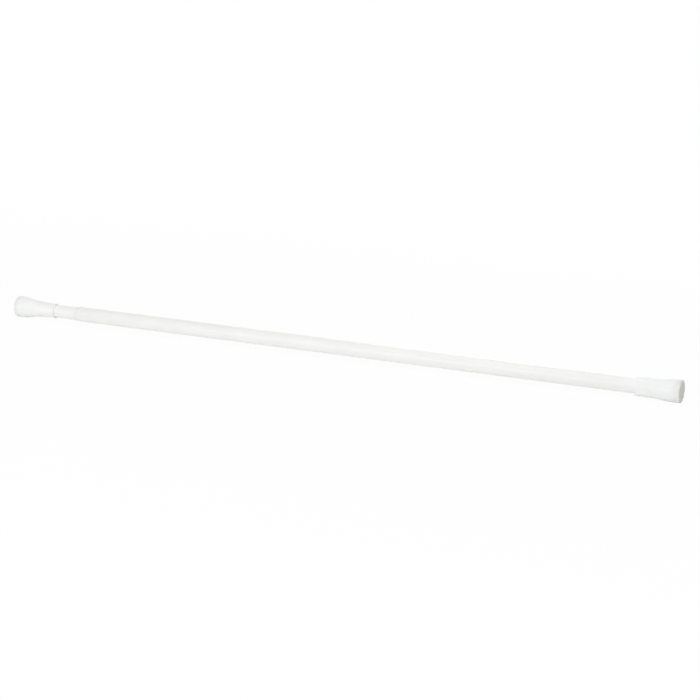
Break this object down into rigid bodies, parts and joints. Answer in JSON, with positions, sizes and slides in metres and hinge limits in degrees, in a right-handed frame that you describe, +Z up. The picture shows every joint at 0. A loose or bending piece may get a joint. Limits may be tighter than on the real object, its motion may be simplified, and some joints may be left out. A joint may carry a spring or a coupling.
{
  "type": "curtain rod",
  "caption": "White telescopic curtain rod with flared sprung end caps, a twist lock and rubber wall feet, clamped between two walls.",
  "frame": {"origin": "centre of the wall face of the fixed end's pad", "axes": "+X out of the fixed wall face, so the rod runs from the origin towards -X; +Z up"},
  "size_m": [1.2, 0.036, 0.036],
  "materials": {
    "powder_coat": "white powder coat on steel, satin",
    "cap_plastic": "white moulded polypropylene, satin",
    "pad_rubber": "off-white moulded rubber, matt",
    "bush_plastic": "white moulded nylon",
    "plug_nylon": "natural moulded nylon",
    "lock_acetal": "white moulded acetal",
    "zinc_steel": "bright zinc plate",
    "spring_steel": "drawn spring wire, lightly oiled"
  },
  "bodies": {
    "outer": {"outer_tube": "powder_coat", "fixed_end_cap": "cap_plastic", "fixed_wall_pad": "pad_rubber", "tube_plug": "plug_nylon", "plug_pin": "zinc_steel", "cap_screw": "zinc_steel", "mouth_bush": "bush_plastic"},
    "guide": {"guide_ring": "plug_nylon"},
    "inner": {"inner_tube": "powder_coat", "lock_core": "lock_acetal", "core_pin": "zinc_steel", "cam_washer": "zinc_steel", "cam_screw": "zinc_steel", "spring_seat": "plug_nylon", "seat_rivets": "zinc_steel", "compression_spring": "spring_steel"},
    "cam": {"lock_cam": "lock_acetal"},
    "sprung_end": {"sprung_end_cap": "cap_plastic", "sprung_wall_pad": "pad_rubber", "guide_bolt": "zinc_steel", "stop_washer": "zinc_steel", "lock_nut": "zinc_steel"}
  },
  "joints": [
    {"name": "telescope", "type": "slide", "parent": "outer", "child": "guide", "axis": [-1, 0, 0], "range_m": [0, 0.8]},
    {"name": "twist_lock", "type": "hinge", "parent": "guide", "child": "inner", "pos_m": [-0.0996, 0, 0], "axis": [1, 0, 0], "range_deg": [-90, 90]},
    {"name": "cam_turn", "type": "hinge", "parent": "inner", "child": "cam", "pos_m": [-0.0816, 0, 0.0006], "axis": [1, 0, 0], "range_deg": [-90, 90]},
    {"name": "end_spring", "type": "slide", "parent": "inner", "child": "sprung_end", "axis": [1, 0, 0], "range_m": [0, 0.02], "stiffness_N_per_m": 3000, "springref_m": -0.008, "deforming": ["compression_spring"]}
  ],
  "couplings": [
    {"joint": "cam_turn", "follows": "twist_lock", "ratio": -1}
  ]
}
